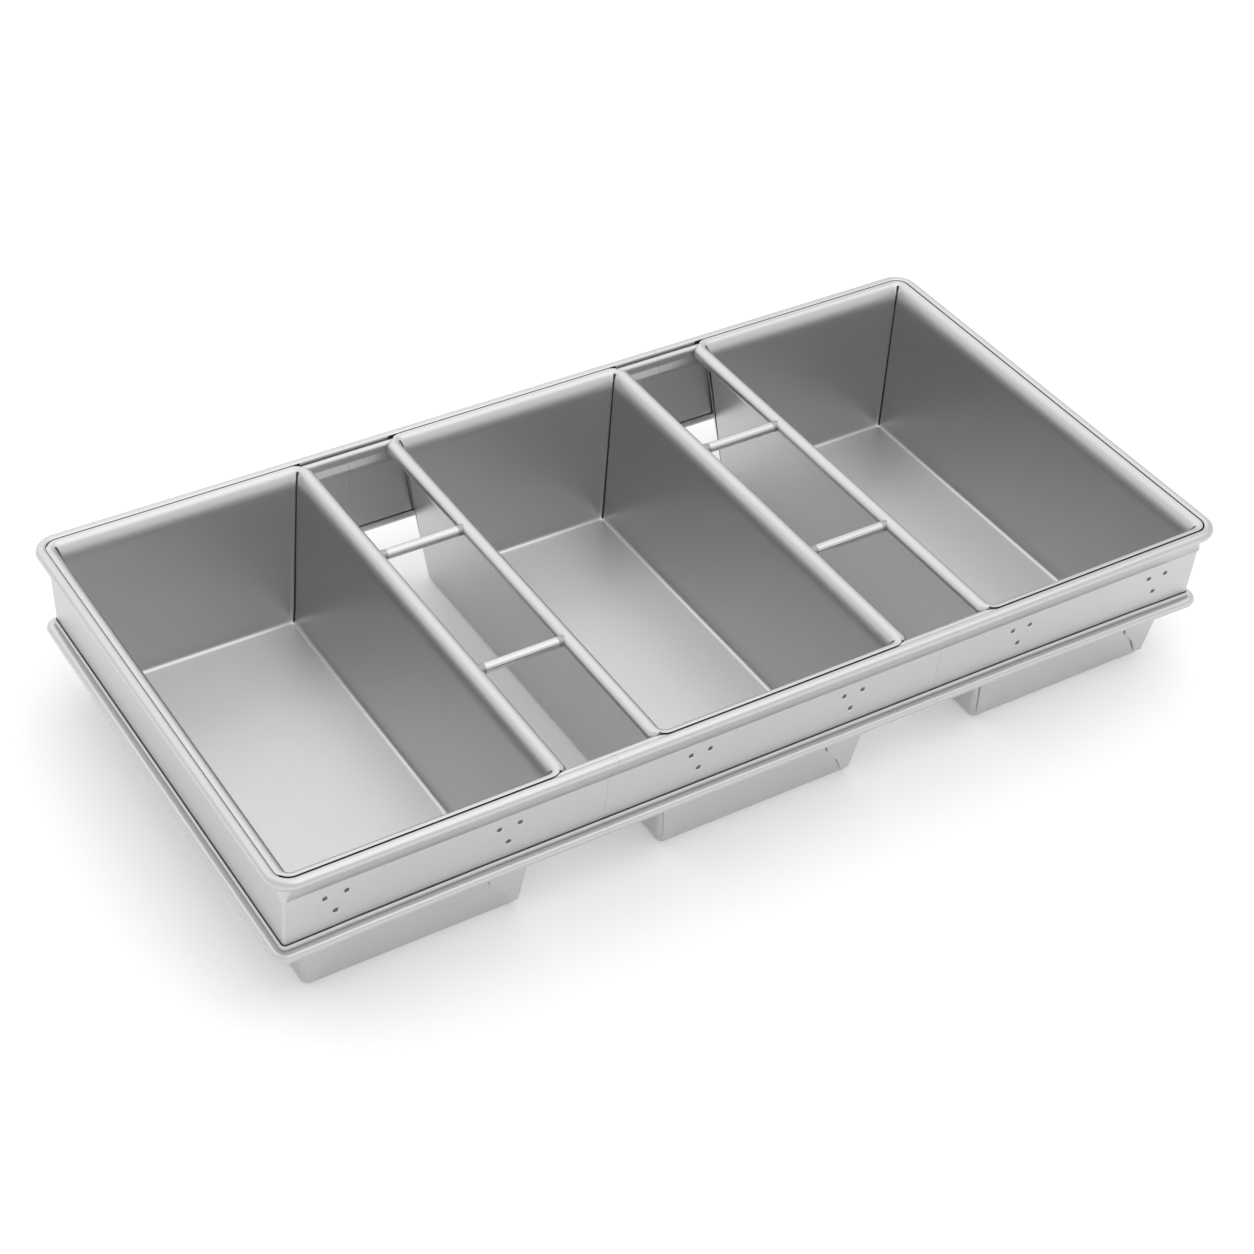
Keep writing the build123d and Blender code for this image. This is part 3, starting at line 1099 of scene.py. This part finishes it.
    def dimple(self, mesh: BMesh, place: float, end: int, drop: float) -> None:
        """Presses one weld's pit and dish into the flat patch round it, and gives the pit's middle the scorch material,
        darkened as painted shade.

        Args:
            mesh: The length's mesh.
            place: The weld's place along the row.
            end: Front or rear, as a sign.
            drop: How far it is below the rims.
        """
        s = self.sizes
        middle = Vector((place, end * (s.seam_half_length + self.outside), s.rim_top - drop))
        patch = min(mesh.faces, key=lambda face: (face.calc_center_median() - middle).length)
        made = bmesh.ops.subdivide_edges(mesh, edges=list(patch.edges), cuts=self.dimple_cuts, use_grid_fill=True)
        inner = {part for part in made["geom_inner"] if isinstance(part, BMVert)}
        for vert in inner:
            far = (vert.co - middle).length
            dish = max(0.0, 1 - (far / (self.dimple_patch / 2)) ** 2)
            depth = self.pit_depth * math.exp(-((far / self.pit_width) ** 2)) + self.dish_depth * dish**2
            vert.co.y -= end * depth * min(1.0, dish * self.dish_edge)
            # Scorch with painted shade: faces near the pit's middle get the dark scorch material so the pit reads dark.
            if far < self.scorch_and_shade_radius:
                for face in vert.link_faces:
                    face.material_index = Skin.SCORCH_AND_SHADE


def dress_kept_parts(palette: Palette) -> None:
    """Gives a finish to the wires, rods and weld metal whose CAD solids are kept.

    Args:
        palette: The materials.
    """
    kinds = {"welds": palette.weld, "wire": palette.wire, "tie_rod": palette.wire}
    for name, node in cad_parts.items():
        if node.hide_render:
            continue
        material = next(material for word, material in kinds.items() if word in name)
        node.data.materials.clear()
        node.data.materials.append(material)
        LOG.info("%s kept from the frame as %s", name, material.name)


@dataclass(frozen=True)
class Softbox:
    """A square lamp, aimed at the set."""

    name: str
    size: float
    power: float
    place: tuple[float, float, float]

    def build(self) -> None:
        """Hangs the lamp."""
        lamp = bpy.data.lights.new(self.name, "AREA")
        lamp.shape = "SQUARE"
        lamp.size = self.size
        lamp.energy = self.power
        holder = bpy.data.objects.new(self.name, lamp)
        holder.location = self.place
        holder.rotation_mode = "QUATERNION"
        holder.rotation_quaternion = (-Vector(self.place)).to_track_quat("-Z", "Y")
        bpy.context.scene.collection.objects.link(holder)


@dataclass
class Studio:
    """A white table in a bright, even room, with a wide faint lamp behind it and a smaller one overhead."""

    floor_size: float = 24.0
    floor_colour: str = "#F3F3F3"
    floor_lift: float = 0.14
    room_light: float = 1.2
    lamps: tuple[Softbox, ...] = (
        Softbox("rear_softbox", 6.4, 48.0, (-0.2, 3.2, 3.4)),
        Softbox("overhead_softbox", 2.2, 10.0, (0.6, -0.6, 2.3)),
    )

    def build(self) -> None:
        """Makes the floor, the room's light and the lamps, and sets how colours are shown."""
        self.floor()
        self.room()
        for lamp in self.lamps:
            lamp.build()
        bpy.context.scene.view_settings.view_transform = "Standard"

    def floor(self) -> None:
        """Lays a white matt floor that keeps the set's shadow."""
        mesh = bmesh.new()
        bmesh.ops.create_grid(mesh, x_segments=1, y_segments=1, size=self.floor_size / 2)
        data = bpy.data.meshes.new("studio_floor")
        mesh.to_mesh(data)
        mesh.free()
        made = blank_material("White studio floor")
        tree = made.node_tree
        matt = add_node(tree, "ShaderNodeBsdfDiffuse", {"Color": linear(self.floor_colour)})
        seen = self.seen_ray(tree)
        lift = add_node(tree, "ShaderNodeMath", {0: seen, 1: self.floor_lift}, operation="MULTIPLY")
        glow = add_node(tree, "ShaderNodeEmission", {"Strength": lift.outputs["Value"]})
        both = add_node(tree, "ShaderNodeAddShader", {0: matt.outputs["BSDF"], 1: glow.outputs["Emission"]})
        add_node(tree, "ShaderNodeOutputMaterial", {"Surface": both.outputs["Shader"]})
        data.materials.append(made)
        floor = bpy.data.objects.new("studio_floor", data)
        bpy.context.scene.collection.objects.link(floor)

    def room(self) -> None:
        """Makes the pale room that gives most of the light, evenly from all sides."""
        world = bpy.data.worlds.new("Pale room")
        world.use_nodes = True
        bpy.context.scene.world = world
        tree = world.node_tree
        tree.nodes.clear()
        glow = add_node(tree, "ShaderNodeBackground", {"Strength": self.room_light})
        add_node(tree, "ShaderNodeOutputWorld", {"Surface": glow.outputs["Background"]})

    def seen_ray(self, tree: NodeTree) -> NodeSocket:
        """Adds nodes that are 1 for camera, mirror and glass rays, and returns their socket."""
        path = add_node(tree, "ShaderNodeLightPath").outputs
        mirror = add_node(
            tree,
            "ShaderNodeMath",
            {0: path["Is Glossy Ray"], 1: path["Is Transmission Ray"]},
            operation="MAXIMUM",
        )
        seen = add_node(
            tree, "ShaderNodeMath", {0: path["Is Camera Ray"], 1: mirror.outputs["Value"]}, operation="MAXIMUM"
        )
        return seen.outputs["Value"]


@dataclass
class PhotoCamera:
    """The camera at the photograph's place, aimed from the set's middle."""

    azimuth: float = 33.55
    elevation: float = 39.44
    roll: float = 3.11
    distance: float = 1.18296
    target: tuple[float, float, float] = (-0.00246, 0.0, 0.02594)
    sensor: float = 36.0
    lens: float = 76.19
    clip: tuple[float, float] = (0.05, 100.0)

    def build(self) -> None:
        """Makes the camera and gives it to the scene."""
        azimuth, elevation, roll = map(math.radians, (self.azimuth, self.elevation, self.roll))
        ahead = Vector(
            (math.sin(azimuth) * math.cos(elevation), math.cos(azimuth) * math.cos(elevation), -math.sin(elevation))
        )
        level = Vector((math.cos(azimuth), -math.sin(azimuth), 0))
        up = level.cross(ahead)
        right = math.cos(roll) * level + math.sin(roll) * up
        top = math.cos(roll) * up - math.sin(roll) * level
        turn = Matrix((right, top, -ahead)).transposed()
        data = bpy.data.cameras.new("photo_camera")
        data.sensor_fit = "HORIZONTAL"
        data.sensor_width = self.sensor
        data.lens = self.lens
        data.clip_start, data.clip_end = self.clip
        camera = bpy.data.objects.new("photo_camera", data)
        camera.matrix_world = Matrix.Translation(Vector(self.target) - ahead * self.distance) @ turn.to_4x4()
        bpy.context.scene.collection.objects.link(camera)
        bpy.context.scene.camera = camera


def main() -> None:
    """Builds the studio, the pans and the strap in order, and reports each piece."""
    logging.basicConfig(level=logging.INFO, format="%(name)s: %(message)s")
    sizes = SetSizes.from_frame()
    palette = Palette()
    Studio().build()
    PhotoCamera().build()
    Pan("left", -sizes.pitch, (1,), sizes, snug_side=-1).build(palette)
    Pan("middle", 0.0, (-1, 1), sizes).build(palette)
    Pan("right", sizes.pitch, (-1,), sizes).build(palette)
    Strap(sizes).build(palette)
    dress_kept_parts(palette)


if __name__ == "__main__":
    main()
